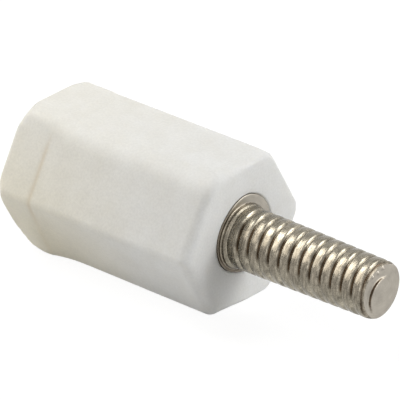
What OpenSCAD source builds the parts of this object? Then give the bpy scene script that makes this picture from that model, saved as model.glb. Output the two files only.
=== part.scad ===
// Male-female hex standoff: a moulded nylon hexagonal body with a metal threaded stud
// anchored in one end and a metal threaded insert anchored in the other.
// The origin is the centre of the shoulder, the end face that the stud stands out of.
// +X runs along the stud, and the body lies on one of its flats, with +Z up.

/* [Hex body] */
// Width across the flats
across_flats = 9.525; // [8:0.005:14]
// Length of the plastic body between its two end faces
body_len = 15.875; // [13:0.005:40]
// Radius of the six long edges
edge_r = 0.8; // [0.2:0.05:1.2]
// How far the shoulder end's chamfer cuts the corners in
shoulder_clip = 0.22; // [0.1:0.01:0.4]
// How far the insert end's chamfer cuts the corners in
insert_clip = 0.38; // [0.1:0.01:0.5]
// Length of the slightly raised band at the insert end
band_len = 2.6; // [1:0.1:5]
// Height of the band above each flat
band_step = 0.03; // [0.01:0.01:0.1]

/* [Stud] */
// Major diameter of the stud's thread
thread_d = 4.06; // [3.7:0.001:5]
// Distance from one thread crest to the next
thread_pitch = 0.794; // [0.5:0.001:1.1]
// Length of the stud in front of the shoulder
stud_len = 11.113; // [7:0.001:20]
// Share of the pitch that is the flat crest
crest_share = 0.2; // [0.1:0.01:0.3]
// Smooth length at the stud's root, where the thread runs out
root_land = 0.4; // [0.2:0.05:2]
// Chamfer round the flat tip
tip_chamfer = 0.4; // [0.2:0.05:0.6]

/* [Stud anchor] */
// Diameter of the round collar that ends flush with the shoulder
collar_d = 5.45; // [5.2:0.05:6.4]
// Depth of the collar in the plastic
collar_len = 1.2; // [0.8:0.1:2]
// Diameter of the neck behind the collar
neck_d = 3.4; // [3:0.1:3.6]
// Length of the neck, which the plastic grips
neck_len = 0.9; // [0.5:0.1:2]
// Diameter over the knurl at the buried end
anchor_d = 5.45; // [5.2:0.05:6.4]
// Length of the knurl
anchor_len = 3; // [1.5:0.1:4]

/* [Insert] */
// Diameter over the insert's knurl
insert_d = 6.3; // [5.6:0.05:7]
// Length of the insert
insert_len = 7.6; // [6:0.1:10]
// Diameter of the threaded bore inside its crests
bore_d = 3.454; // [2.5:0.001:4]
// Depth of the bore's round wall, measured from the end face
bore_len = 6.35; // [4:0.05:8]
// How much wider in radius the countersink is than the bore
countersink = 0.4; // [0.1:0.05:0.6]
// Length of the smooth rim at the insert's mouth
rim_len = 0.8; // [0.4:0.1:2]
// Width of the groove round the insert's middle
groove_w = 1.2; // [0.6:0.1:2]
// Depth of that groove below the knurl
groove_depth = 0.5; // [0.3:0.05:0.8]

/* [Knurl] */
// Number of straight grooves in each knurl
knurl_count = 18; // [10:1:24]
// Depth of each groove
knurl_depth = 0.25; // [0.1:0.01:0.4]

/* [Hidden] */

round_fn = 96;
// spare length of a cutter past the surface it cuts
past = 1;

// body
half_flats = across_flats / 2;
corner_reach = (half_flats - edge_r) / cos(30) + edge_r;

// thread: 60 degree flanks, cut as a helical groove between flat crests
thread_steps = 24;
thread_r = thread_d / 2;
thread_depth = 0.6134 * thread_pitch;
flank_len = thread_depth * tan(30);
groove_root = thread_pitch * (1 - crest_share) - 2 * flank_len;
groove_len = 2 * flank_len + groove_root;
// the helical part's crests lie this much inside the smooth lands, so that the two never share an edge
land_margin = 0.01;
crest_r = thread_r - land_margin;
tip_land = 0.1;
thread_end = stud_len - tip_chamfer - tip_land;
groove_steps = floor((thread_end - root_land - groove_len) / thread_pitch * thread_steps);
// steps over which the groove deepens at its start and fades at its end
fade_steps = thread_steps / 3;
// depth at the very ends of the groove, as a share of the full depth
fade_floor = 0.05;

// How deep the groove is at step k, as a share of the full depth
function groove_share(k) = max(fade_floor, min(1, k / fade_steps, (groove_steps - k) / fade_steps));

// A point at radius r and height z, on the thread's angle step k
function at_step(r, z, k) = [
    r * cos(360 * k / thread_steps),
    r * sin(360 * k / thread_steps),
    z
];

// The groove's four corners at step k: lower crest edge, both root edges, upper crest edge
function groove_section(k) =
    let (z = root_land + thread_pitch * k / thread_steps)
    let (root_r = crest_r - thread_depth * groove_share(k))
    [
        at_step(crest_r, z, k),
        at_step(root_r, z + flank_len, k),
        at_step(root_r, z + flank_len + groove_root, k),
        at_step(crest_r, z + groove_len, k)
    ];

// Two triangles for a four-sided face
function quad(a, b, c, d) = [[a, b, c], [a, c, d]];

// Turns a module made round +Z so that it runs along +X
module along_x() {
    rotate([0, 90, 0]) children();
}

// Outline of the hexagon with round corners, its flats facing up and down once it lies along X
module rounded_hex(flats_half) {
    centre_reach = (flats_half - edge_r) / cos(30);
    polygon([
        for (corner = [0:5], side = [-30, 30])
            let (around = 30 + 60 * corner)
            [
                centre_reach * cos(around) + edge_r * cos(around + side),
                centre_reach * sin(around) + edge_r * sin(around + side)
            ]
    ]);
    for (corner = [0:5])
        rotate(30 + 60 * corner)
            translate([centre_reach, 0])
                circle(edge_r, $fn = round_fn);
}

// The turned envelope that trims the hexagon's corners at both ends
module turned_envelope() {
    reach = corner_reach + band_step / cos(30);
    rotate_extrude($fn = round_fn)
        polygon([
            [0, -body_len],
            [reach - insert_clip, -body_len],
            [reach, -body_len + insert_clip],
            [reach, -shoulder_clip - band_step],
            [corner_reach - shoulder_clip, 0],
            [0, 0]
        ]);
}

// A barrel with straight V grooves along it, from z = 0 to its length
module knurled_barrel(d, len) {
    difference() {
        cylinder(h = len, d = d, $fn = round_fn);
        for (i = [0:knurl_count - 1])
            rotate(360 * i / knurl_count)
                translate([d / 2 - knurl_depth, 0, -past])
                    linear_extrude(len + 2 * past)
                        polygon([[0, 0], [2 * knurl_depth, knurl_depth * 1.6], [2 * knurl_depth, -knurl_depth * 1.6]]);
    }
}

// The part of the stud that the plastic holds, running down from the shoulder
module stud_anchor() {
    translate([0, 0, -collar_len])
        cylinder(h = collar_len, d = collar_d, $fn = round_fn);
    translate([0, 0, -collar_len - neck_len])
        cylinder(h = neck_len, d = neck_d, $fn = round_fn);
    translate([0, 0, -collar_len - neck_len - anchor_len])
        knurled_barrel(anchor_d, anchor_len);
}

// The insert's outer form, running up from the body's other end face
module insert_shell() {
    knurl_len = (insert_len - rim_len - groove_w) / 2;
    cylinder(h = rim_len, d = insert_d, $fn = round_fn);
    translate([0, 0, rim_len])
        knurled_barrel(insert_d, knurl_len);
    translate([0, 0, rim_len + knurl_len])
        cylinder(h = groove_w, d = insert_d - 2 * groove_depth, $fn = round_fn);
    translate([0, 0, insert_len - knurl_len])
        knurled_barrel(insert_d, knurl_len);
}

// The helical part of the thread: one closed skin round a groove that climbs the stud
module helical_thread() {
    n = thread_steps;
    last = groove_steps;
    sections = [for (k = [0:last]) each groove_section(k)];
    base = len(sections);
    bottom_ring = [for (i = [0:n - 1]) at_step(crest_r, root_land, i)];
    top_ring = [for (i = [0:n - 1]) at_step(crest_r, thread_end, i)];
    // index of corner c of the groove at step k, and of the two end rings at step k
    a = function (k) 4 * k;
    d = function (k) 4 * k + 3;
    low = function (k) base + k % n;
    high = function (k) base + n + k % n;
    groove_faces = [
        for (k = [0:last - 1], c = [0:2])
            each quad(a(k) + c, a(k) + c + 1, a(k + 1) + c + 1, a(k + 1) + c)
    ];
    crest_faces = [
        for (k = [0:last - n - 1])
            each quad(d(k), a(k + n), a(k + n + 1), d(k + 1))
    ];
    lower_wall = [
        for (k = [0:n - 2])
            each quad(low(k), a(k), a(k + 1), low(k + 1))
    ];
    upper_wall = [
        for (k = [last - n + 1:last - 1])
            each quad(d(k), high(k), high(k + 1), d(k + 1))
    ];
    // the last face below the groove and the first one above it meet the groove's blunt ends
    groove_start = [
        [low(n - 1), a(n - 1), low(0)],
        [low(0), a(n - 1), a(0)],
        [a(0), a(n - 1), d(0)],
        [d(0), a(n - 1), a(n)],
        [a(0), d(0), d(0) - 1],
        [a(0), d(0) - 1, a(0) + 1]
    ];
    groove_end = [
        [high(last), high(last + 1), d(last)],
        [d(last), high(last + 1), a(last)],
        [a(last), high(last + 1), d(last - n + 1)],
        [a(last), d(last - n + 1), d(last - n)],
        [a(last), a(last) + 1, d(last) - 1],
        [a(last), d(last) - 1, d(last)]
    ];
    polyhedron(
        points = concat(sections, bottom_ring, top_ring),
        faces = concat(
            groove_faces, crest_faces, lower_wall, upper_wall, groove_start, groove_end,
            [[for (i = [0:n - 1]) low(i)]],
            [[for (i = [0:n - 1]) high(n - 1 - i)]]
        ),
        convexity = 12
    );
}

module hex_body() {
    color("ivory")
        along_x()
            difference() {
                intersection() {
                    union() {
                        translate([0, 0, -body_len])
                            linear_extrude(body_len)
                                rounded_hex(half_flats);
                        translate([0, 0, -body_len])
                            linear_extrude(band_len)
                                rounded_hex(half_flats + band_step);
                    }
                    turned_envelope();
                }
                stud_anchor();
                translate([0, 0, -body_len])
                    insert_shell();
            }
}

module threaded_stud() {
    color("silver")
        along_x() {
            stud_anchor();
            cylinder(h = root_land, r = thread_r, $fn = round_fn);
            helical_thread();
            translate([0, 0, thread_end])
                cylinder(h = tip_land, r = thread_r, $fn = round_fn);
            translate([0, 0, stud_len - tip_chamfer])
                cylinder(h = tip_chamfer, r1 = thread_r, r2 = thread_r - tip_chamfer, $fn = round_fn);
        }
}

module threaded_insert() {
    color("lightgray")
        along_x()
            translate([0, 0, -body_len])
                difference() {
                    insert_shell();
                    rotate_extrude($fn = round_fn)
                        polygon([
                            [0, -past],
                            [bore_d / 2 + countersink + past, -past],
                            [bore_d / 2, countersink],
                            [bore_d / 2, bore_len],
                            [0, bore_len + bore_d / 2 * tan(31)]
                        ]);
                }
}

hex_body();
threaded_stud();
threaded_insert();
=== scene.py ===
import math

import bmesh
import bpy
from mathutils import Matrix, Vector, noise


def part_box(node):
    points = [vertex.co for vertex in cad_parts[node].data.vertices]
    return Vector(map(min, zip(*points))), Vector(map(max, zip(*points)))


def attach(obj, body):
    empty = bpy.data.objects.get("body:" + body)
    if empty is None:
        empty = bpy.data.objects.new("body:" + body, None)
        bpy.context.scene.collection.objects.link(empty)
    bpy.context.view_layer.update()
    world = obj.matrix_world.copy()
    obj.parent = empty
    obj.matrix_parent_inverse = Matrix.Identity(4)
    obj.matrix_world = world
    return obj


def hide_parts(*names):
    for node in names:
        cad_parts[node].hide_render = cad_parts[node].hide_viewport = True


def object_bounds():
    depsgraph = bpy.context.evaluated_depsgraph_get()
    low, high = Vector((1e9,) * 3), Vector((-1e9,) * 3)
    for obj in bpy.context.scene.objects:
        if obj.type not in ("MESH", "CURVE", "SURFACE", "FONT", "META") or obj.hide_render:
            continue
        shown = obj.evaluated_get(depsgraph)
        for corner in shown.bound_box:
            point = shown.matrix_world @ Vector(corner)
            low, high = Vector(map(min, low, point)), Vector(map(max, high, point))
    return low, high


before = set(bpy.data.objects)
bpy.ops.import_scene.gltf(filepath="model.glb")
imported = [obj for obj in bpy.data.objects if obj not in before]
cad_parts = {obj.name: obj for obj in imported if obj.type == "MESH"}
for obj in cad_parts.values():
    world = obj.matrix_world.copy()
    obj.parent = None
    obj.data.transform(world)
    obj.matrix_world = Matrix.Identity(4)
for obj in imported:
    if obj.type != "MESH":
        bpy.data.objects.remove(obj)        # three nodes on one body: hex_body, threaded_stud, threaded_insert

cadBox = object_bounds()
mm = 0.001
tau = 2 * math.pi
cos30 = math.cos(math.radians(30))
weldReach = 0.0005  # mm; points closer than this become one
noiseLow, noiseHigh = 0.3, 0.7  # where most values of a noise texture lie

bodyLow, bodyHigh = [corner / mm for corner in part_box("hex_body")]
studLow, studHigh = [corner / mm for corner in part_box("threaded_stud")]
insertLow, insertHigh = [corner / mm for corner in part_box("threaded_insert")]
print("stage: frame loaded")


# shape helpers; lengths in millimetres, X along the axis

def smoothStep(value):
    t = min(1.0, max(0.0, value))
    return t * t * (3 - 2 * t)


def ramp(value, low, high):
    # a smooth change from 0 at low to 1 at high, whichever of the two is the larger
    return smoothStep((value - low) / (high - low))


def softClamp(value, lowBlend, highBlend):
    # 0 to 1 like a clamp, with each corner rounded over its own width
    if value < -lowBlend:
        return 0.0
    if value < lowBlend:
        return (value + lowBlend) ** 2 / (4 * lowBlend)
    if value < 1 - highBlend:
        return value
    if value < 1 + highBlend:
        return 1 - (1 + highBlend - value) ** 2 / (4 * highBlend)
    return 1.0


def softMin(a, b, blend):
    # the smaller of two values, with a rounded corner where they cross
    t = min(1.0, max(0.0, 0.5 + (b - a) / (2 * blend)))
    return b + (a - b) * t - blend * t * (1 - t)


def spread(start, end, count):
    # count + 1 values from start to end
    return [start + (end - start) * i / count for i in range(count + 1)]


def between(p, q, t):
    return tuple(a + (b - a) * t for a, b in zip(p, q))


def wobble(point, size, seed):
    # smooth noise between about -1 and 1, in lumps of that size
    return noise.noise(Vector(point) / size + Vector((seed, 1.7 * seed, 0.3)))


def polar(x, radius, angle):
    return (x, radius * math.cos(angle), radius * math.sin(angle))


def turnedRing(x, radius, count):
    # a ring of points round the axis; the radius is a number, or a function of the angle
    ring = []
    for i in range(count):
        angle = tau * i / count
        ring.append(polar(x, radius(angle) if callable(radius) else radius, angle))
    return ring


def addObject(name, data):
    thing = bpy.data.objects.new(name, data)
    bpy.context.scene.collection.objects.link(thing)
    return thing


def skinPiece(name, rings, startTip, endTip, layers=None, helix=None):
    # closes a row of rings into one skin, with a point on the axis at each end;
    # helix names its first row, the row after its last, and the rows to a turn: there
    # the last column meets the first one a whole turn further on
    count = len(rings[0])
    helixFirst, helixEnd, perTurn = helix or (0, 0, 0)
    points = [(startTip, 0.0, 0.0)]
    for ring in rings:
        points.extend(ring)
    points.append((endTip, 0.0, 0.0))
    faces = []
    for i in range(count):
        faces.append((0, 1 + i, 1 + (i + 1) % count))
    for row in range(len(rings) - 1):
        a = 1 + row * count
        b = a + count
        for i in range(count - 1):
            faces.append((a + i, b + i, b + i + 1, a + i + 1))
        meet = row
        if helixFirst <= row < helixEnd - 1:
            meet += perTurn
            if not helixFirst <= meet < helixEnd - 1:
                continue
        c = 1 + meet * count
        faces.append((a + count - 1, b + count - 1, c + count, c))
    last = 1 + (len(rings) - 1) * count
    for i in range(count):
        faces.append((last + i, len(points) - 1, last + (i + 1) % count))
    mesh = bpy.data.meshes.new(name)
    mesh.from_pydata([Vector(p) * mm for p in points], [], faces)
    if helix:
        weldPoints(mesh)
    mesh.update()
    for layerName, valueAt in (layers or {}).items():
        layer = mesh.attributes.new(layerName, "FLOAT", "POINT")
        layer.data.foreach_set("value", [valueAt(point.co / mm) for point in mesh.vertices])
    return addObject(name, mesh)


def weldPoints(mesh):
    # joins the points that the flat ends of a helix hold in one place
    shell = bmesh.new()
    shell.from_mesh(mesh)
    bmesh.ops.remove_doubles(shell, verts=shell.verts, dist=weldReach * mm)
    shell.to_mesh(mesh)
    shell.free()


def finishPiece(piece, node, material, sharpAngle):
    piece.data.shade_smooth()
    piece.data.set_sharp_from_angle(angle=math.radians(sharpAngle))
    piece.data.materials.append(material)
    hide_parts(node)
    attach(piece, "root")


def addNode(tree, kind, place=(0, 0), **settings):
    node = tree.nodes.new(kind)
    node.location = place
    for key, value in settings.items():
        setattr(node, key, value)
    return node


def setInputs(node, values):
    for name, value in values.items():
        node.inputs[name].default_value = value


def newGroup(name, inputs, outputs):
    # inputs are names with their defaults and outputs are names, all for plain numbers
    group = bpy.data.node_groups.new(name, "ShaderNodeTree")
    kind = "NodeSocketFloat"
    for label, default in inputs.items():
        socket = group.interface.new_socket(name=label, in_out="INPUT", socket_type=kind)
        socket.default_value = default
    for label in outputs:
        group.interface.new_socket(name=label, in_out="OUTPUT", socket_type=kind)
    given = addNode(group, "NodeGroupInput", (-900, 0))
    result = addNode(group, "NodeGroupOutput", (700, 0))
    return group, given, result


def placeGroup(tree, group, place, values):
    node = addNode(tree, "ShaderNodeGroup", place)
    node.node_tree = group
    setInputs(node, values)
    return node.outputs


def mathNode(tree, operation, place, a, b=None):
    node = addNode(tree, "ShaderNodeMath", place, operation=operation)
    for index, value in enumerate((a, b)):
        if value is None:
            continue
        if isinstance(value, (int, float)):
            node.inputs[index].default_value = value
        else:
            tree.links.new(value, node.inputs[index])
    return node.outputs[0]


def mapNode(tree, value, place, low, high, toLow, toHigh):
    node = addNode(tree, "ShaderNodeMapRange", place)
    setInputs(node, {"From Min": low, "From Max": high, "To Min": toLow, "To Max": toHigh})
    tree.links.new(value, node.inputs["Value"])
    return node.outputs["Result"]


def mixColour(tree, place, factor, a, b, blend="MIX"):
    node = addNode(tree, "ShaderNodeMix", place, data_type="RGBA", blend_type=blend)
    for socket, value in ((node.inputs[0], factor), (node.inputs[6], a), (node.inputs[7], b)):
        if hasattr(value, "is_output"):
            tree.links.new(value, socket)
        else:
            socket.default_value = value
    return node.outputs[2]


def pointValue(tree, name, place):
    # a value that the mesh carries at its points
    return addNode(tree, "ShaderNodeAttribute", place, attribute_name=name).outputs["Fac"]


def objectParts(tree, place):
    # x, y and z of the point being shaded, in the frame's metres
    where = addNode(tree, "ShaderNodeTexCoord", place)
    parts = addNode(tree, "ShaderNodeSeparateXYZ", (place[0] + 200, place[1]))
    tree.links.new(where.outputs["Object"], parts.inputs[0])
    return parts.outputs


def greyColour(tree, place, value):
    grey = addNode(tree, "ShaderNodeCombineColor", place)
    for index in range(3):
        tree.links.new(value, grey.inputs[index])
    return grey.outputs[0]


def placeGrain(tree, place, look):
    sizes = {"Speckle Size": look["speckleSize"], "Cloud Size": look["cloudSize"]}
    grain = placeGroup(tree, fineGrain, place, sizes)
    return grain["Speckle"], grain["Cloud"]


def addBump(tree, place, height, look, shader):
    bump = addNode(tree, "ShaderNodeBump", place)
    setInputs(bump, {"Strength": look["bumpStrength"], "Distance": look["bumpHeight"] * mm})
    tree.links.new(height, bump.inputs["Height"])
    tree.links.new(bump.outputs[0], shader.inputs["Normal"])


def buildFineGrain():
    # fine speckle with a softer cloud under it, both from 0 to 1
    sizes = {"Speckle Size": 0.05, "Cloud Size": 2.0}
    group, given, result = newGroup("fineGrain", sizes, ("Speckle", "Cloud"))
    where = addNode(group, "ShaderNodeTexCoord", (-900, 300))
    for sizeName, outName, detail, up in zip(sizes, ("Speckle", "Cloud"), (3, 2), (200, -100)):
        scale = mathNode(group, "DIVIDE", (-500, up), 1 / mm, given.outputs[sizeName])
        texture = addNode(group, "ShaderNodeTexNoise", (-250, up))
        texture.inputs["Detail"].default_value = detail
        group.links.new(where.outputs["Object"], texture.inputs["Vector"])
        group.links.new(scale, texture.inputs["Scale"])
        spreadOut = mapNode(group, texture.outputs["Fac"], (100, up), noiseLow, noiseHigh, 0, 1)
        group.links.new(spreadOut, result.inputs[outName])
    return group


def buildLatheStreaks():
    # fine lines that run round the axis, from 0 to 1
    group, given, result = newGroup(
        "latheStreaks", {"Line Width": 0.03, "Breaks Per Turn": 6.0}, ("Streaks",))
    parts = objectParts(group, (-900, 300))
    ySquare = mathNode(group, "MULTIPLY", (-500, 400), parts["Y"], parts["Y"])
    zSquare = mathNode(group, "MULTIPLY", (-500, 250), parts["Z"], parts["Z"])
    radius = mathNode(group, "SQRT", (-200, 300), mathNode(group, "ADD", (-350, 300), ySquare, zSquare))
    safeRadius = mathNode(group, "MAXIMUM", (-50, 300), radius, 0.05 * mm)
    acrossScale = mathNode(group, "DIVIDE", (-500, -100), 1 / mm, given.outputs["Line Width"])
    outward = mathNode(group, "ADD", (0, 0), parts["X"], radius)
    across = mathNode(group, "MULTIPLY", (100, 100), outward, acrossScale)
    cosine = mathNode(group, "DIVIDE", (100, 400), parts["Y"], safeRadius)
    sine = mathNode(group, "DIVIDE", (100, 250), parts["Z"], safeRadius)
    vector = addNode(group, "ShaderNodeCombineXYZ", (400, 200))
    group.links.new(across, vector.inputs[0])
    for index, value, up in ((1, cosine, 400), (2, sine, 250)):
        around = mathNode(group, "MULTIPLY", (250, up), value, given.outputs["Breaks Per Turn"])
        group.links.new(around, vector.inputs[index])
    texture = addNode(group, "ShaderNodeTexNoise", (550, 200))
    setInputs(texture, {"Scale": 1, "Detail": 2})
    group.links.new(vector.outputs[0], texture.inputs["Vector"])
    result.location = (1000, 0)
    streaks = mapNode(group, texture.outputs["Fac"], (750, 200), noiseLow, noiseHigh, 0, 1)
    group.links.new(streaks, result.inputs["Streaks"])
    return group


def buildHollowMask():
    # 1 in the hollows and 0 elsewhere, from how far the surface bends inwards
    group, given, result = newGroup("hollowMask", {"Hollow Reach": 0.06}, ("Hollows",))
    shape = addNode(group, "ShaderNodeNewGeometry", (-900, 300))
    inward = mathNode(group, "SUBTRACT", (-500, -100), 0.5, shape.outputs["Pointiness"])
    share = mathNode(group, "DIVIDE", (-250, -100), inward, given.outputs["Hollow Reach"])
    limited = addNode(group, "ShaderNodeClamp", (0, -100))
    group.links.new(share, limited.inputs["Value"])
    group.links.new(limited.outputs[0], result.inputs["Hollows"])
    return group


fineGrain = buildFineGrain()
latheStreaks = buildLatheStreaks()
hollowMask = buildHollowMask()
print("stage: node groups built")


def startMaterial(name):
    material = bpy.data.materials.new(name)
    material.use_nodes = True
    tree = material.node_tree
    return material, tree, tree.nodes["Principled BSDF"]


nylonLook = {
    "cool": (0.775, 0.778, 0.765, 1),  # near the shoulder
    "warm": (0.80, 0.788, 0.738, 1),  # near the insert end
    "lowWarmShade": (0.79, 0.75, 0.622, 1),  # painted warm shade, low on the insert end
    "lowWarmShadeHeights": (4.5, -2.5),  # mm; that painted shade grows from the first height to the second
    "lowWarmShadeAlong": (-5, -13),  # mm; and from the first place along the axis to the second
    "shade": (0.62, 0.57, 0.48, 1),  # painted shade in the hollows
    "shadeShare": 0.5,
    "hollowReach": 0.06,
    "creaseShadeColour": (0.70, 0.61, 0.46, 1),  # painted shade along the crease
    "creaseShadeShare": 0.50,  # how strongly the painted crease shade shows
    "cloudDrift": 0.18,  # how far the clouds move the change from warm to cool
    "speckleTone": (0.955, 1.035),  # darkest and lightest
    "cloudTone": (0.965, 1.02),
    "roughness": (0.42, 0.56),
    "speckleSize": 0.15,  # mm
    "cloudSize": 1.6,  # mm
    "bumpHeight": 0.004,  # mm
    "bumpStrength": 0.5,
    "refraction": 1.5,
    "specular": 0.35,
    "scatter": 0.35,
    "scatterReach": (0.9, 0.85, 0.75),  # mm for red, green and blue
}


def nylonMaterial():
    look = nylonLook
    material, tree, shader = startMaterial("nylon")
    speckle, cloud = placeGrain(tree, (-900, 0), look)
    masks = placeGroup(tree, hollowMask, (-900, -300), {"Hollow Reach": look["hollowReach"]})
    parts = objectParts(tree, (-1300, 300))
    along = mapNode(tree, parts["X"], (-900, 300), bodyLow.x * mm, bodyHigh.x * mm, 0, 1)
    drift = look["cloudDrift"]
    cloudShift = mapNode(tree, cloud, (-700, 100), 0, 1, -drift, drift)
    share = mathNode(tree, "ADD", (-500, 300), along, cloudShift)
    tone = mixColour(tree, (-300, 300), share, look["warm"], look["cool"])
    # painted warm shade, lower down towards the insert end
    low = mapNode(tree, parts["Z"], (-900, 500), *[z * mm for z in look["lowWarmShadeHeights"]], 0, 1)
    rear = mapNode(tree, parts["X"], (-900, 700), *[x * mm for x in look["lowWarmShadeAlong"]], 0, 1)
    lowRear = mathNode(tree, "MULTIPLY", (-500, 500), low, rear)
    tone = mixColour(tree, (-200, 500), lowRear, tone, look["lowWarmShade"])
    # painted shade where the surface bends inwards
    hollow = mapNode(tree, masks["Hollows"], (-500, -200), 0, 1, 0, look["shadeShare"])
    # painted shade along the crease
    creaseShaded = mathNode(tree, "MULTIPLY", (-500, 900), pointValue(tree, "crease", (-700, 900)), look["creaseShadeShare"])
    tone = mixColour(tree, (-150, 700), creaseShaded, tone, look["creaseShadeColour"])
    colour = mixColour(tree, (-100, 300), hollow, tone, look["shade"])
    spots = mapNode(tree, speckle, (-500, 0), 0, 1, *look["speckleTone"])
    clouds = mapNode(tree, cloud, (-500, -80), 0, 1, *look["cloudTone"])
    mottleTone = mathNode(tree, "MULTIPLY", (-350, 0), spots, clouds)
    mottle = greyColour(tree, (-200, 100), mottleTone)
    colour = mixColour(tree, (50, 300), 1.0, colour, mottle, "MULTIPLY")
    tree.links.new(colour, shader.inputs["Base Color"])
    rough = mapNode(tree, speckle, (-300, 0), 0, 1, *look["roughness"])
    tree.links.new(rough, shader.inputs["Roughness"])
    addBump(tree, (-200, -300), speckle, look, shader)
    setInputs(shader, {
        "IOR": look["refraction"], "Specular IOR Level": look["specular"],
        "Subsurface Weight": look["scatter"], "Subsurface Radius": look["scatterReach"],
        "Subsurface Scale": mm})
    return material


bodyShape = {
    # mm, except where a note says otherwise
    "flatSteps": 20,
    "arcSteps": 16,
    # rounding of the six long edges: far middle, far top, near top, near middle, near bottom, far bottom
    "edgeRadii": (0.8, 0.4, 2.1, 0.65, 0.8, 0.8),
    "leastRadius": 0.08,
    "nearTop": 2,  # which of them is the near top edge
    "nearTopSharper": (1.6, 5.0),  # how much tighter it gets, and how far from the insert end that starts
    "shoulderRound": (0.24, 0.68),  # fillet round the shoulder's outline, on the far and the near side
    "insertRound": 0.22,
    "turnedRadius": 0.8,  # edge radius that the turned chamfers were set by
    "shoulderClip": 0.22,  # how far the turned chamfer trims the corners
    "insertClip": 0.38,
    "clipBlend": 0.12,
    "bandLength": 2.82,
    "bandStep": 0.03,
    "bandEdge": 0.4,  # length over which the band steps down
    "creaseDepth": 0.02,
    "creaseStart": 0.3,
    "creaseFade": 0.45,
    "creaseElsewhere": 0.2,  # share of the crease on the faces away from the near side
    "creaseWidth": 0.14,  # of the painted shade along the crease
    "swell": 0.40,  # how far the near lower edge bulges where the band ends
    "swellPlace": 0.8,  # as a share of the band's length
    "swellReach": 1.4,
    "swellHeights": (1.0, -4.0),  # it grows from the first height to the second
    "creaseShadeHeights": (-2.5, 0),  # the painted crease shade comes up in full between these
    "creaseShadeTop": (4.2, 2.8),  # and ends between these
    "creaseShadeLeast": 0.25,  # its share at the bottom
    "wornWays": ((-0.5, -0.866), (-0.5, 0.866)),  # towards the near bottom and the near top edge
    "worn": (0.36, 0.14),  # extra rounding of those two at the insert end
    "waviness": 0.008,
    "waveSize": 3.5,
    "rimRound": 0.16,
    "seam": 0.015,  # hairline between plastic and metal
    "collarCovered": 0.36,  # how far the plastic closes over the collar's near side
    "coverWiden": 1.2,  # how much wider the rim's rounding is there
    "collarLength": 1.2,
    "neckRadius": 1.7,
    "neckLength": 0.9,
    "anchorLength": 3.0,
    "insertLength": 7.6,
    "insertRim": 0.8,
    "insertGroove": (1.2, 0.5),  # width and depth
}
knurl = {"count": 18, "depth": 0.25}

ringCount = 6 * (bodyShape["flatSteps"] + bodyShape["arcSteps"])
collarRadius = studHigh.y
insertRadius = insertHigh.y
halfFlats = bodyHigh.z - bodyShape["bandStep"]


nearWay = (-0.83, 0.559)  # across and up, towards the near upper side
frontWay = (0.559, 0.83)  # square to it, towards the top


def towards(way, y, z):
    # how far a point lies in a direction round the axis
    return way[0] * y + way[1] * z


def nearSide(y, z):
    return towards(nearWay, y, z)


def knurlRadius(radius, angle):
    # V grooves round a barrel
    turn = (angle / tau * knurl["count"]) % 1
    away = min(turn, 1 - turn) * tau * radius / knurl["count"]
    return radius - max(0.0, knurl["depth"] - away / 1.6)


def cornerPoint(corner, degrees, radii, flats):
    # a point on one of the hexagon's round corners, that far round from its middle
    radius = radii[corner]
    reach = (flats - radius) / cos30
    around = math.radians(60 * corner)
    angle = around + math.radians(degrees)
    return (reach * math.cos(around) + radius * math.cos(angle),
            reach * math.sin(around) + radius * math.sin(angle))


def hexRing(x, inset):
    # the rounded hexagon at x, taken in by the inset all round
    shape = bodyShape
    fromInsertEnd = x - bodyLow.x
    band = smoothStep((shape["bandLength"] + shape["bandEdge"] / 2 - fromInsertEnd) / shape["bandEdge"])
    flats = halfFlats + shape["bandStep"] * band - inset
    radii = list(shape["edgeRadii"])
    sharper, sharperLength = shape["nearTopSharper"]
    radii[shape["nearTop"]] -= sharper * (1 - smoothStep(fromInsertEnd / sharperLength))
    radii = [max(shape["leastRadius"], radius - inset) for radius in radii]
    ring = []
    for corner in range(6):
        for step in range(shape["arcSteps"] + 1):
            ring.append(cornerPoint(corner, 60 * step / shape["arcSteps"] - 30, radii, flats))
        start = ring[-1]
        end = cornerPoint((corner + 1) % 6, -30, radii, flats)
        for t in spread(0, 1, shape["flatSteps"])[1:-1]:
            ring.append(between(start, end, t))
    return [shapedPoint(x, y, z) for y, z in ring]


def shapedPoint(x, y, z):
    # turned chamfers at both ends, the band's swelling and slight moulding waves
    shape = bodyShape
    out = math.hypot(y, z)
    corner = (halfFlats - shape["turnedRadius"]) / cos30 + shape["turnedRadius"]
    worn = 0.0
    for way, amount in zip(shape["wornWays"], shape["worn"]):
        worn += amount * smoothStep(2 * towards(way, y, z) / out - 1)
    limit = min(corner - shape["shoulderClip"] + (bodyHigh.x - x),
                corner + shape["bandStep"] - shape["insertClip"] + (x - bodyLow.x) - worn)
    kept = softMin(out, limit, shape["clipBlend"])
    y, z = y * kept / out, z * kept / out
    fromSwell = x - bodyLow.x - shape["swellPlace"] * shape["bandLength"]
    reach = math.exp(-(fromSwell / shape["swellReach"]) ** 2)
    side = smoothStep(-2 * y / halfFlats) * ramp(z, *shape["swellHeights"])
    y -= shape["swell"] * reach * side
    fromBand = x - bodyLow.x - shape["bandLength"]
    fade = math.exp(-max(0.0, fromBand) / shape["creaseFade"])
    groove = fade * smoothStep(fromBand / shape["creaseStart"] + 1)
    near = smoothStep(-y / halfFlats) * smoothStep(1.6 - abs(z) / 2.6)
    elsewhere = shape["creaseElsewhere"]
    depth = shape["creaseDepth"] * groove * (elsewhere + (1 - elsewhere) * near)
    y, z = y * (1 - depth / halfFlats), z * (1 - depth / halfFlats)
    wave = shape["waviness"] * wobble((x, y, z), shape["waveSize"], 4)
    if abs(z) < halfFlats - 0.05:
        y += wave
    return (x, y, z)


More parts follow.
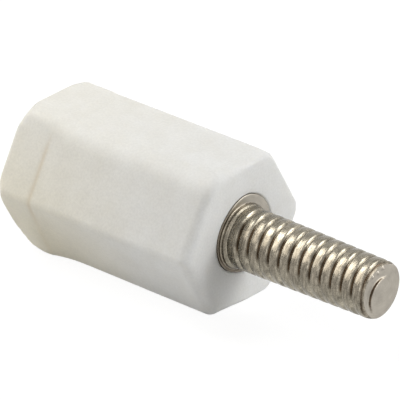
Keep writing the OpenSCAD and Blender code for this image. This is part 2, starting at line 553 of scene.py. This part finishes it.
def bodyCrease(point):
    # painted shade along the crease where the band ends, on the near side only
    shape = bodyShape
    x, y, z = point
    least = shape["creaseShadeLeast"]
    upward = (least + (1 - least) * ramp(z, *shape["creaseShadeHeights"])) * ramp(z, *shape["creaseShadeTop"])
    fromBand = x - bodyLow.x - shape["bandLength"]
    near = smoothStep(-1.7 * y / halfFlats) * upward
    return near * math.exp(-(fromBand / shape["creaseWidth"]) ** 2)


def collarCover(y, z):
    # how far the plastic closes over the collar, mostly on the near side
    return smoothStep((0.45 - 0.97 * y - 0.15 * z) / 1.1)


def collarEdge(angle):
    # the collar's outline at the shoulder
    return collarRadius - bodyShape["collarCovered"] * collarCover(math.cos(angle), math.sin(angle))


def mouthRing(x, outward):
    # the rounded rim of the plastic round the collar, wider where it closes over the metal
    ring = []
    for px, y, z in pocketRing(x, 1.0):
        wider = outward * (1 + bodyShape["coverWiden"] * collarCover(y, z))
        radius = collarEdge(math.atan2(z, y)) + bodyShape["seam"] + wider
        ring.append((px, radius * y, radius * z))
    return ring


def shoulderRing(angle):
    # one step round the shoulder's fillet, which is wider on the near side
    far, near = [hexRing(bodyHigh.x - size * (1 - math.cos(angle)), size * (1 - math.sin(angle)))
                 for size in bodyShape["shoulderRound"]]
    return [between(p, q, smoothStep((1.0 - p[1]) / 3.5)) for p, q in zip(far, near)]


def pocketRing(x, radius, knurled=False):
    # a round or knurled ring with as many points as the hexagon, in step with its corners
    ring = []
    for i in range(ringCount):
        angle = tau * (i - bodyShape["arcSteps"] / 2) / ringCount
        ring.append(polar(x, knurlRadius(radius, angle) if knurled else radius, angle))
    return ring


def faceRings(outer, inner, count):
    # flat rings between an outline and a hole
    shares = spread(0, 1, count)[1:-1]
    return [[between(p, q, t) for p, q in zip(outer, inner)] for t in shares]


def insertStops():
    # places along the axis where the insert's rim, knurl, groove and second knurl end
    shape = bodyShape
    groove = shape["insertGroove"][0]
    knurlLength = (shape["insertLength"] - shape["insertRim"] - groove) / 2
    first = bodyLow.x + shape["insertRim"]
    return first, first + knurlLength, first + knurlLength + groove, bodyLow.x + shape["insertLength"]


def buildHexBody():
    shape = bodyShape
    shoulder, end = bodyHigh.x, bodyLow.x
    hole = collarRadius + shape["seam"]
    well = insertRadius + shape["seam"]
    neck = shape["neckRadius"] + shape["seam"]
    rim = shape["rimRound"]
    # the stud's pocket, from its bottom out to the shoulder
    depth = shape["collarLength"] + shape["neckLength"]
    bottom = shoulder - depth - shape["anchorLength"] - shape["seam"]
    pocket = (
        (bottom, 0.5 * hole, False), (bottom, hole, True), (shoulder - depth, hole, True),
        (shoulder - depth, neck, False), (shoulder - shape["collarLength"], neck, False),
        (shoulder - shape["collarLength"], hole, False), (shoulder - 4 * rim, hole, False))
    rings = [pocketRing(*ring) for ring in pocket]
    for angle in spread(0, math.pi / 2, 5):
        rings.append(mouthRing(shoulder - rim * (1 - math.sin(angle)), rim * (1 - math.cos(angle))))
    # the shoulder face, its rounded outline, the six flats, then the insert end
    faceSteps = 8
    roundSteps = 8
    rings += faceRings(rings[-1], shoulderRing(0), faceSteps)
    for angle in spread(0, math.pi / 2, roundSteps):
        rings.append(shoulderRing(angle))
    front = shape["shoulderRound"][1]
    back = shape["insertRound"]
    crease = end + shape["bandLength"]
    # closer together near the crease
    places = [shoulder - front, crease + 1.6, crease + 0.15, crease - 0.15, end + back]
    for start, stop, steps in zip(places, places[1:], (24, 12, 10, 12)):
        rings += [hexRing(x, 0) for x in spread(start, stop, steps)[1:]]
    rings.pop()
    for angle in spread(0, math.pi / 2, roundSteps):
        rings.append(hexRing(end + back * (1 - math.sin(angle)), back * (1 - math.cos(angle))))
    rimRings = [pocketRing(end + rim * (1 - math.cos(angle)), well + rim * (1 - math.sin(angle)))
                for angle in spread(0, math.pi / 2, 5)]
    rings += faceRings(rings[-1], rimRings[0], faceSteps) + rimRings
    # the insert's pocket
    rimEnd, knurlEnd, grooveEnd, insertEnd = insertStops()
    grooved = well - shape["insertGroove"][1]
    floor = insertEnd + shape["seam"]
    pocket = (
        (rimEnd, well, False), (rimEnd, well, True), (knurlEnd, well, True), (knurlEnd, grooved, False),
        (grooveEnd, grooved, False), (grooveEnd, well, True), (floor, well, True), (floor, 0.5 * well, False))
    rings += [pocketRing(*ring) for ring in pocket]
    piece = skinPiece("hexBody", rings, bottom, floor, {"crease": bodyCrease})
    finishPiece(piece, "hex_body", nylonMaterial(), 50)
    return piece


hexBody = buildHexBody()
print("stage: body built,", len(hexBody.data.polygons), "faces")


metalLook = {
    "crest": (0.64, 0.59, 0.48, 1),  # rubbed edges of the thread; the same colour paints the highlight along the crests and on the burrs
    "flank": (0.200, 0.175, 0.137, 1),
    "paintedLight": (0.255, 0.230, 0.180, 1),  # painted light on the underside and top
    "root": (0.060, 0.040, 0.023, 1),  # painted shade at the bottom of the grooves
    "rootFrom": (0.4, 0.9),  # depths, as shares, between which that colour comes in
    "bare": (0.375, 0.346, 0.298, 1),  # cut faces
    "edgeDepth": 0.12,  # depth, as a share, of the edge that is rubbed
    "edgeReach": (0.02, 0.14),  # and how far from it the rub fades
    "edgeRub": 0.25,  # how strong it is
    "patchy": (0.1, 0.8, 0.55, 1),  # speckle from and to, then the share of the rub at each
    "lineTone": (0.62, 1.3),  # darkest and lightest
    "cloudTone": (0.88, 1.1),
    "spotTone": (0.78, 1.22),
    "bareEven": 0.85,  # how much of the streaks the cut faces lack
    "roughness": (0.19, 0.34),
    "bareRoughness": 0.20,  # added on the cut faces
    "lineWidth": 0.075,  # mm
    "breaks": 3.5,  # how often a line changes in a turn
    "speckleSize": 0.08,  # mm
    "cloudSize": 0.9,  # mm
    "spotHeight": 0.4,  # against the height of the streaks
    "bumpHeight": 0.008,  # mm
    "bumpStrength": 0.6,
}


def metalMaterial(name):
    look = metalLook
    material, tree, shader = startMaterial(name)
    speckle, cloud = placeGrain(tree, (-1100, 0), look)
    sizes = {"Line Width": look["lineWidth"], "Breaks Per Turn": look["breaks"]}
    streaks = placeGroup(tree, latheStreaks, (-1100, -250), sizes)["Streaks"]
    hollow = pointValue(tree, "hollow", (-1100, 300))
    bare = pointValue(tree, "bare", (-1100, 500))
    fromEdge = mathNode(tree, "SUBTRACT", (-1000, 400), hollow, look["edgeDepth"])
    fromEdge = mathNode(tree, "ABSOLUTE", (-950, 300), fromEdge)
    rubbed = mapNode(tree, fromEdge, (-800, 300), *look["edgeReach"], look["edgeRub"], 0)
    # the worn points add a painted highlight along the crests and on the burrs
    rubbed = mathNode(tree, "MAXIMUM", (-700, 400), rubbed, pointValue(tree, "worn", (-1100, 900)))
    patchy = mapNode(tree, speckle, (-800, 100), *look["patchy"])
    rubbed = mathNode(tree, "MULTIPLY", (-600, 300), rubbed, patchy)
    deep = mapNode(tree, hollow, (-800, 500), *look["rootFrom"], 0, 1)
    paintedLight = pointValue(tree, "paintedLight", (-1100, 700))
    tone = mixColour(tree, (-600, 600), paintedLight, look["flank"], look["paintedLight"])
    tone = mixColour(tree, (-400, 300), rubbed, tone, look["crest"])
    # painted shade in the grooves
    tone = mixColour(tree, (-200, 400), deep, tone, look["root"])
    tone = mixColour(tree, (0, 400), bare, tone, look["bare"])
    shadeLines = mapNode(tree, streaks, (-600, 0), 0, 1, *look["lineTone"])
    shadeCloud = mapNode(tree, cloud, (-600, -120), 0, 1, *look["cloudTone"])
    shadeSpots = mapNode(tree, speckle, (-600, 150), 0, 1, *look["spotTone"])
    # a power of less than 1 draws a tone in towards 1
    even = mathNode(tree, "MULTIPLY", (-700, -60), bare, look["bareEven"])
    even = mathNode(tree, "SUBTRACT", (-600, -60), 1.0, even)
    shadeLines = mathNode(tree, "POWER", (-500, 0), shadeLines, even)
    shadeSpots = mathNode(tree, "POWER", (-500, 150), shadeSpots, even)
    shade = mathNode(tree, "MULTIPLY", (-400, 50), shadeLines, shadeSpots)
    shade = mathNode(tree, "MULTIPLY", (-300, 0), shade, shadeCloud)
    grey = greyColour(tree, (-200, 50), shade)
    colour = mixColour(tree, (200, 300), 1.0, tone, grey, "MULTIPLY")
    tree.links.new(colour, shader.inputs["Base Color"])
    rough = mapNode(tree, speckle, (-400, -150), 0, 1, *look["roughness"])
    dull = mathNode(tree, "MULTIPLY", (-400, -300), bare, look["bareRoughness"])
    tree.links.new(mathNode(tree, "ADD", (-200, -150), rough, dull), shader.inputs["Roughness"])
    spotHeight = mathNode(tree, "MULTIPLY", (-400, -600), speckle, look["spotHeight"])
    lineHeight = mathNode(tree, "MULTIPLY", (-400, -450), streaks, even)
    height = mathNode(tree, "ADD", (-200, -500), lineHeight, spotHeight)
    addBump(tree, (0, -400), height, look, shader)
    shader.inputs["Metallic"].default_value = 1
    return material


threadShape = {
    "pitch": 0.812,  # mm
    "depth": 0.16,  # mm
    "crestShare": 0.68,  # share of the pitch between the flanks, across the crest
    "crestRound": 0.78,  # rounding where crest and flank meet, as a share of the flank
    "rootRound": 0.2,
    "blend": 0.03,  # mm; rounding where the thread meets a plain surface
    "columns": 160,
}
flankWidth = threadShape["depth"] * math.tan(math.radians(30)) / threadShape["pitch"]  # in pitches


def grooveShare(turn):
    # 0 on the crest, 1 at the root; the crest's middle is where turn is a whole number
    away = abs(turn - round(turn))
    down = (away - threadShape["crestShare"] / 2) / flankWidth
    return softClamp(down, threadShape["crestRound"], threadShape["rootRound"])


def profileStops():
    # places across one pitch, from crest to crest, close together where the profile bends
    top = threadShape["crestShare"] / 2
    bend = threadShape["crestRound"] * flankWidth
    bottom = top + flankWidth
    curl = threadShape["rootRound"] * flankWidth
    half = [0.0] + spread(top - bend, top + bend, 6)
    half += spread(top + bend, bottom - curl, 2)[1:]
    half += [bottom - curl / 3, bottom + curl / 3]
    return half + [0.5] + [1 - stop for stop in half[:0:-1]]


studShape = {
    # mm, except where a note says otherwise
    "length": 10.98,  # the rubbed tip ends just inside the solid's
    "rootRadius": 2.02,
    "tipRadius": 1.87,
    "taper": 1.3,  # power by which the radius falls towards the tip
    "crown": 0.016,  # how much the crests bulge
    "phase": 0.438,  # turns
    "runOut": (-0.9, 1.2),  # turn where the groove starts, and turns until it is full
    "bandRadius": 2.13,  # plain band at the shoulder
    "bandLength": 0.24,
    "bandSlope": 1.3,
    "rootFillet": 0.10,
    "tipChamfer": 0.16,
    "faceRadius": 1.82,
    "faceWorn": 0.32,  # how much smaller the face is on the near side
    "faceRound": 0.04,
    "faceMargin": 0.02,  # how far the cut face's finish runs past its edge
    "faceRings": 48,
    "faceCentre": 0.06,  # innermost ring, as a share of the outermost
    "edgeRings": 4,
    "crestWaver": 0.010,
    "waverPace": (2.2, 1.5),  # how fast the crests waver, along the axis and round it
    "collarBevel": 0.05,
    "ledgeDepth": 0.15,  # a step left by the cut-off along one side of the tip's face
    "ledgeRadius": 1.29,
    "ledgeCentre": (0.333, -0.526),
    "ledgeBlend": 0.2,
    "ledgeLine": 5.5,  # how dark the painted shade along that step is
    "burrs": ((-0.65, 1.15, 0.16), (-0.11, 1.22, 0.12), (0.30, 1.40, 0.17)),  # across, up, height
    "burrSpread": 0.008,  # mm squared
    "burrShine": 14,  # painted highlight on the burrs, for each mm of height
    "lineFrom": 0.5,  # where the painted highlight line along the crests starts
    "linePlace": -0.36,  # pitches from the crest's middle
    "lineWidth": 0.055,  # pitches
    "ringWay": (0.55, 0.83),  # side of the collar's ring that is left without painted shade
    "ringBare": 0.4,  # how bare the rest of the ring is
    "faceSlack": (-0.1, 0.005),  # depth range that counts as the collar's face
    "chamferShade": 0.85,
    "chamferRim": (1.62, 1.76),  # radii between which that painted shade comes in
    # sides run from -1 under the near side to 1 above it
    "lineSides": (-0.9, -0.5),  # the painted highlight line comes in between these
    "shadeSides": (-0.72, -0.42),  # and the painted shade in the grooves between these
    "lighterShadeSides": (0.2, 0.6),  # the grooves' painted shade is lighter again beyond these
    "lighterShadeShare": 0.6,
    "leastShade": 0.15,
    "paintedLightUnder": (-0.35, -0.85),
    "paintedLightOver": (0.2, 0.55),
    "paintedLightFrom": 0.15,  # from the shoulder
}


def faceEdge(y, z):
    # radius of the tip's flat face in that direction
    near = nearSide(y, z) / max(1e-9, math.hypot(y, z))
    return studShape["faceRadius"] - studShape["faceWorn"] * smoothStep(0.4 + 0.9 * near)


def crestRadius(x):
    # the thread's outer radius, which falls towards the tip
    root, tip = studShape["rootRadius"], studShape["tipRadius"]
    return root + (tip - root) * (x / studShape["length"]) ** studShape["taper"]


def onTipFace(x, y, z):
    # whether a point is on the tip's face or on its lower step
    if x <= studShape["length"] - 1.1 * studShape["ledgeDepth"]:
        return False
    return math.hypot(y, z) < faceEdge(y, z) + studShape["faceMargin"]


def onCollarFace(x):
    low, high = studShape["faceSlack"]
    return low < x < high


def studRadius(x, angle):
    shape = studShape
    length = shape["length"]
    turn = x / threadShape["pitch"] - angle / tau - shape["phase"]
    along = math.floor(turn) + angle / tau  # turns along the groove from where it starts
    start, fade = shape["runOut"]
    share = grooveShare(turn) * smoothStep((along - start) / fade)
    alongPace, aroundPace = shape["waverPace"]
    spot = polar(x * alongPace, aroundPace, angle)
    bulge = shape["crown"] * min(1.0, 2 * abs(turn - round(turn)) / threadShape["crestShare"]) ** 2
    radius = crestRadius(x) - bulge * (1 - share) - threadShape["depth"] * share
    radius += shape["crestWaver"] * wobble(spot, 1.0, 7) * (1 - share)
    band = shape["bandRadius"] - shape["bandSlope"] * max(0.0, x - shape["bandLength"])
    radius = -softMin(-radius, -band, threadShape["blend"])
    face = faceEdge(math.cos(angle), math.sin(angle))
    bevel = face + (length - x) * (shape["tipRadius"] - face) / shape["tipChamfer"]
    radius = softMin(radius, bevel, threadShape["blend"])
    fillet = shape["rootFillet"]
    if x < fillet:
        radius += fillet - math.sqrt(max(0.0, fillet ** 2 - (fillet - x) ** 2))
    return radius


def frontSide(y, z):
    # the direction round the axis, from -1 underneath the near side to 1 above it
    return towards(frontWay, y, z) / max(0.1, math.hypot(y, z))


def ledgeShare(y, z):
    # 1 on the lower step of the tip's face and 0 on the face itself, then the line between them
    middle = studShape["ledgeCentre"]
    away = math.hypot(y - middle[0], z - middle[1])
    near = smoothStep((nearSide(y, z) + 0.4) / 1.2)
    step = smoothStep((away - studShape["ledgeRadius"]) / studShape["ledgeBlend"] + 0.5)
    return step * near, step * (1 - step) * near


def burrHeight(y, z):
    height = 0.0
    for across, up, tall in studShape["burrs"]:
        height += tall * math.exp(-((y - across) ** 2 + (z - up) ** 2) / studShape["burrSpread"])
    return height


def tipHeight(y, z):
    # how far the tip's face stands out or back: the ledge, and burrs left by the cut-off
    return burrHeight(y, z) - studShape["ledgeDepth"] * ledgeShare(y, z)[0]


def ringLight(y, z):
    # 1 on the part of the collar's ring that faces away from the near lower side; the rest of the ring gets
    # painted shade
    return smoothStep(1.2 * towards(studShape["ringWay"], y, z) / collarRadius - 0.1)


def ringShare(y, z):
    # 0 at the ring's inner edge, 1 at its outer edge
    inner = studShape["bandRadius"]
    return min(1.0, max(0.0, (math.hypot(y, z) - inner) / (collarRadius - inner)))


def studHollow(point):
    # depth below the crests from 0 to 1, which paints shade in the grooves, lighter on some sides; also
    # painted shade along the tip's step, on the collar's ring and on the chamfer
    shape = studShape
    x, y, z = point
    radius = math.hypot(y, z)
    if onTipFace(x, y, z):
        # painted shade along the step on the tip's face
        return min(1.0, shape["ledgeLine"] * ledgeShare(y, z)[1])
    if onCollarFace(x):
        # painted shade on the collar's ring, darkest near the root away from its lit side
        return (1 - ringLight(y, z)) * (1 - ringShare(y, z))
    if x >= shape["length"] - shape["tipChamfer"]:
        # painted shade on the chamfer's near side
        return shape["chamferShade"] * ramp(radius, *shape["chamferRim"]) * smoothStep(nearSide(y, z) / 1.2)
    if x <= 0.0:
        return 0.0
    deep = min(1.0, max(0.0, (crestRadius(x) - radius) / threadShape["depth"]))
    side = frontSide(y, z)
    shaded = ramp(side, *shape["shadeSides"]) * (1 - shape["lighterShadeShare"] * ramp(side, *shape["lighterShadeSides"]))
    return deep * (shape["leastShade"] + (1 - shape["leastShade"]) * shaded)


def studPaintedHighlight(point):
    # painted highlight: the bright line along the edge of each crest that faces the shoulder, and on the burrs
    shape = studShape
    x, y, z = point
    if x > shape["length"] - shape["tipChamfer"]:
        return min(1.0, shape["burrShine"] * burrHeight(y, z))
    if x < shape["lineFrom"]:
        return 0.0
    turn = x / threadShape["pitch"] - math.atan2(z, y) / tau - shape["phase"]
    edge = turn - round(turn) - shape["linePlace"]
    return math.exp(-(edge / shape["lineWidth"]) ** 2) * ramp(frontSide(y, z), *shape["lineSides"])


def studPaintedLight(point):
    # painted light: the thread's underside and top, lighter than the side between them
    shape = studShape
    x, y, z = point
    if x <= shape["paintedLightFrom"] or x > shape["length"] - shape["tipChamfer"]:
        return 0.0
    side = frontSide(y, z)
    return max(ramp(side, *shape["paintedLightUnder"]), 0.8 * ramp(side, *shape["paintedLightOver"]))


def studBare(point):
    # the cut faces: the collar's ring and the tip; the ring is fully bare only on the side away from its
    # painted shade
    x, y, z = point
    if onTipFace(x, y, z):
        return 1.0 - min(1.0, studHollow(point))
    if not onCollarFace(x) or math.hypot(y, z) < studShape["bandRadius"]:
        return 0.0
    return max(ringLight(y, z), studShape["ringBare"] * ringShare(y, z))


def helixRows(low, high, radiusAt, phase):
    # rows that climb with the thread, held between two flat ends
    count = threadShape["columns"]
    pitch = threadShape["pitch"]
    stops = profileStops()
    first = math.floor(low / pitch - phase) - 1
    last = math.ceil(high / pitch - phase) + 1
    rows = []
    for turn in range(first, last):
        for stop in stops:
            row = []
            for i in range(count):
                angle = tau * i / count
                x = min(high, max(low, pitch * (turn + stop + phase + i / count)))
                row.append(polar(x, radiusAt(x, angle), angle))
            rows.append(row)
    return rows, len(stops)


def anchorEdge(angle):
    return knurlRadius(collarRadius, angle)


def buildStud():
    shape = studShape
    body = bodyShape
    count = threadShape["columns"]
    length = shape["length"]
    # buried end: knurled anchor, neck, then the collar's side; each is a place and a radius
    back = studLow.x
    bevel = shape["collarBevel"]
    neck = body["neckRadius"]
    neckEnd = -body["collarLength"]
    neckStart = neckEnd - body["neckLength"]
    profile = (
        (back, 0.5 * collarRadius), (back, lambda a: anchorEdge(a) - bevel), (back + bevel, anchorEdge),
        (neckStart, anchorEdge), (neckStart, neck), (neckEnd, neck), (neckEnd, collarRadius),
        (-4.5 * body["rimRound"], collarRadius), (-body["rimRound"], collarEdge), (-bevel, collarEdge),
        (-0.3 * bevel, lambda a: collarEdge(a) - 0.3 * bevel), (0.0, lambda a: collarEdge(a) - bevel))
    rings = [turnedRing(x, radius, count) for x, radius in profile]
    # the collar's flat face in to the root fillet
    inner = shape["bandRadius"] + shape["rootFillet"]
    for share in spread(0, 1, 6)[1:-1]:
        rings.append(turnedRing(0.0, lambda a: (collarEdge(a) - bevel) * (1 - share) + inner * share, count))
    for step in spread(0.0, shape["rootFillet"], 5)[:-1]:
        x = step * step / shape["rootFillet"]
        rings.append(turnedRing(x, lambda a: studRadius(x, a), count))
    # the thread
    finish = length - shape["faceRound"]
    threadRows, perTurn = helixRows(shape["rootFillet"], finish, studRadius, shape["phase"])
    helix = (len(rings), len(rings) + len(threadRows), perTurn)
    rings += threadRows
    # the tip's rounded edge and its face
    for angle in spread(0, math.pi / 2, shape["edgeRings"])[1:]:
        drop = shape["faceRound"] * (1 - math.cos(angle))
        x = finish + shape["faceRound"] * math.sin(angle)
        rings.append(turnedRing(x, lambda a: studRadius(finish, a) - drop, count))
    edge = rings[-1]
    for share in spread(1, shape["faceCentre"], shape["faceRings"])[1:]:
        rings.append([(length, y * share, z * share) for x, y, z in edge])
    for row in range(len(rings) - shape["faceRings"] - shape["edgeRings"], len(rings)):
        rings[row] = [(x + tipHeight(y, z), y, z) for x, y, z in rings[row]]
    # the worn layer carries a painted highlight along the crests and on the burrs
    layers = {"hollow": studHollow, "bare": studBare, "paintedLight": studPaintedLight, "worn": studPaintedHighlight}
    piece = skinPiece("threadedStud", rings, back, length, layers, helix)
    finishPiece(piece, "threaded_stud", metalMaterial("studMetal"), 50)
    return piece


threadedStud = buildStud()
print("stage: stud built,", len(threadedStud.data.polygons), "faces")


insertShape = {
    # mm, except where a note says otherwise
    "boreRadius": 1.727,
    "countersink": 0.4,
    "threadLength": 6.35,
    "phase": 0.1,  # turns
    "depth": 0.2,
    "fadeIn": 0.3,
    "fadeOut": 0.8,
    "drillAngle": 31,  # degrees
    "edgeBevel": 0.05,
    "wallWithin": 2.4,  # radius inside which a point lies on the bore
}


def boreWall(x, angle):
    # radius of the threaded bore, which the countersink opens at its mouth
    shape = insertShape
    fromMouth = x - insertLow.x
    turn = x / threadShape["pitch"] - angle / tau - shape["phase"]
    start = smoothStep(fromMouth / shape["fadeIn"])
    finish = smoothStep((shape["threadLength"] - fromMouth) / shape["fadeOut"])
    wall = shape["boreRadius"] + shape["depth"] * grooveShare(turn) * start * finish
    mouth = shape["boreRadius"] + shape["countersink"] - fromMouth
    return -softMin(-wall, -mouth, threadShape["blend"])


def insertHollow(point):
    # depth of the thread's groove from 0 to 1, which paints shade in the groove, and 0 off the bore
    x, y, z = point
    fromMouth = x - insertLow.x
    radius = math.hypot(y, z)
    shape = insertShape
    if not shape["fadeIn"] <= fromMouth <= shape["threadLength"] or radius > shape["wallWithin"]:
        return 0.0
    return min(1.0, max(0.0, (radius - shape["boreRadius"]) / shape["depth"]))


def insertBare(point):
    # the rim's flat face round the mouth
    return 1.0 if point[0] < insertLow.x + 0.01 else 0.0


def insertEdge(angle):
    return knurlRadius(insertRadius, angle)


def buildInsert():
    shape = insertShape
    body = bodyShape
    count = threadShape["columns"]
    mouth = insertLow.x
    inside = mouth + shape["threadLength"]
    bevel = shape["edgeBevel"]
    bore = shape["boreRadius"]
    drillSlope = math.tan(math.radians(shape["drillAngle"]))
    rings = [turnedRing(inside + 0.4, bore - 0.4 / drillSlope, count), turnedRing(inside, bore, count)]
    wallRows, perTurn = helixRows(mouth, inside, boreWall, shape["phase"])
    helix = (len(rings), len(rings) + len(wallRows), -perTurn)
    rings += wallRows[::-1]
    for radius in spread(bore + shape["countersink"], insertRadius - bevel, 6)[1:]:
        rings.append(turnedRing(mouth, radius, count))
    rimEnd, knurlEnd, grooveEnd, end = insertStops()
    grooved = insertRadius - body["insertGroove"][1]
    profile = (
        (mouth + 0.3 * bevel, insertRadius - 0.3 * bevel), (mouth + bevel, insertRadius),
        (rimEnd, insertRadius), (rimEnd, insertEdge), (knurlEnd, insertEdge), (knurlEnd, grooved),
        (grooveEnd, grooved), (grooveEnd, insertEdge), (end, insertEdge), (end, 0.5 * insertRadius))
    rings += [turnedRing(x, radius, count) for x, radius in profile]
    drillTip = inside + bore * drillSlope
    layers = {"hollow": insertHollow, "bare": insertBare}
    piece = skinPiece("threadedInsert", rings, drillTip, end, layers, helix)
    finishPiece(piece, "threaded_insert", metalMaterial("insertMetal"), 50)
    return piece


threadedInsert = buildInsert()
print("stage: insert built,", len(threadedInsert.data.polygons), "faces")


stageLook = {
    "floorSize": 3.0,  # m
    "floorColour": (0.74, 0.74, 0.74, 1),
    "floorRoughness": 0.9,
    "whiteShare": 0.78,  # share of plain white in what the background's rays see of the floor
    "whiteLevel": 1.16,
    "worldLevel": 0.08,
    "worldColour": (1.0, 0.99, 0.97, 1),
}
lamps = {
    # azimuth and elevation in degrees, distance and size in metres, power in watts, colour
    "keyLamp": (278, 57, 0.5, 0.25, 0.96, (1.0, 0.99, 0.97)),
    "frontLamp": (309, 38, 0.16, 0.116, 0.099, (1.0, 0.97, 0.91)),
    "rightLamp": (116, 16, 0.6, 0.35, 1.17, (1.0, 1.0, 1.0)),
    "fillLamp": (38, 22, 0.6, 0.35, 0.40, (1.0, 1.0, 1.0)),
    "backLamp": (135, 42, 0.6, 0.35, 1.57, (1.0, 1.0, 1.0)),
}
view = {
    "azimuth": 40.80, "elevation": 27.25,  # degrees
    "distance": 298.2, "scale": 16.13,  # mm, and pixels per mm there
    "aside": -2.655, "raised": 2.218,  # mm across the view and up it
    "imageWidth": 400,  # pixels
    "sensorWidth": 36,  # mm
}


def backgroundRays(tree, place):
    # 1 for rays that see the background straight, in a mirror or through glass
    left, level = place
    rays = addNode(tree, "ShaderNodeLightPath", place).outputs
    seen = mathNode(tree, "MAXIMUM", (left + 200, level), rays["Is Camera Ray"], rays["Is Glossy Ray"])
    return mathNode(tree, "MAXIMUM", (left + 400, level), seen, rays["Is Transmission Ray"])


def mixWhite(tree, share, plain, white, target):
    # shows the white shader in place of the plain one, by that share
    mixed = addNode(tree, "ShaderNodeMixShader", (400, 0))
    for index, socket in enumerate((share, plain.outputs[0], white.outputs[0])):
        tree.links.new(socket, mixed.inputs[index])
    tree.links.new(mixed.outputs[0], tree.nodes[target].inputs["Surface"])


def buildFloor():
    half = stageLook["floorSize"] / 2
    level = cadBox[0].z
    mesh = bpy.data.meshes.new("floor")
    corners = [(-half, -half, level), (half, -half, level), (half, half, level), (-half, half, level)]
    mesh.from_pydata(corners, [], [(0, 1, 2, 3)])
    floor = addObject("floor", mesh)
    material, tree, shader = startMaterial("paleFloor")
    setInputs(shader, {
        "Base Color": stageLook["floorColour"], "Roughness": stageLook["floorRoughness"],
        "Specular IOR Level": 0})
    glow = addNode(tree, "ShaderNodeEmission", (0, -300))
    glow.inputs["Strength"].default_value = stageLook["whiteLevel"]
    seen = backgroundRays(tree, (-400, 200))
    share = mathNode(tree, "MULTIPLY", (200, 200), seen, stageLook["whiteShare"])
    mixWhite(tree, share, shader, glow, "Material Output")
    mesh.materials.append(material)


def buildWorld():
    world = bpy.data.worlds.new("studio")
    world.use_nodes = True
    bpy.context.scene.world = world
    tree = world.node_tree
    soft = tree.nodes["Background"]
    setInputs(soft, {"Color": stageLook["worldColour"], "Strength": stageLook["worldLevel"]})
    white = addNode(tree, "ShaderNodeBackground", (0, -200))
    setInputs(white, {"Color": (1, 1, 1, 1), "Strength": 1})
    mixWhite(tree, backgroundRays(tree, (-500, 300)), soft, white, "World Output")


def viewDirection(azimuth, elevation):
    a, e = math.radians(azimuth), math.radians(elevation)
    return Vector((math.sin(a) * math.cos(e), -math.cos(a) * math.cos(e), math.sin(e)))


def buildLamps():
    for name, (azimuth, elevation, distance, size, power, colour) in lamps.items():
        data = bpy.data.lights.new(name, "AREA")
        data.shape = "DISK"
        data.size = size
        data.energy = power
        data.color = colour
        source = addObject(name, data)
        direction = viewDirection(azimuth, elevation)
        source.location = direction * distance
        source.rotation_mode = "QUATERNION"
        source.rotation_quaternion = direction.to_track_quat("Z", "Y")


def buildCamera():
    turn = math.radians(view["azimuth"])
    back = viewDirection(view["azimuth"], view["elevation"])
    right = Vector((math.cos(turn), math.sin(turn), 0))
    up = back.cross(right)
    data = bpy.data.cameras.new("camera")
    data.sensor_width = view["sensorWidth"]
    data.lens = view["scale"] * view["distance"] / view["imageWidth"] * data.sensor_width
    data.clip_start = 0.01
    data.clip_end = 20
    camera = addObject("camera", data)
    place = (right * view["aside"] + up * view["raised"] + back * view["distance"]) * mm
    camera.matrix_world = Matrix.Translation(place) @ Matrix((right, up, back)).transposed().to_4x4()
    bpy.context.scene.camera = camera


buildFloor()
buildWorld()
buildLamps()
buildCamera()
bpy.context.scene.view_settings.view_transform = "Standard"
print("stage: floor, light and camera set")
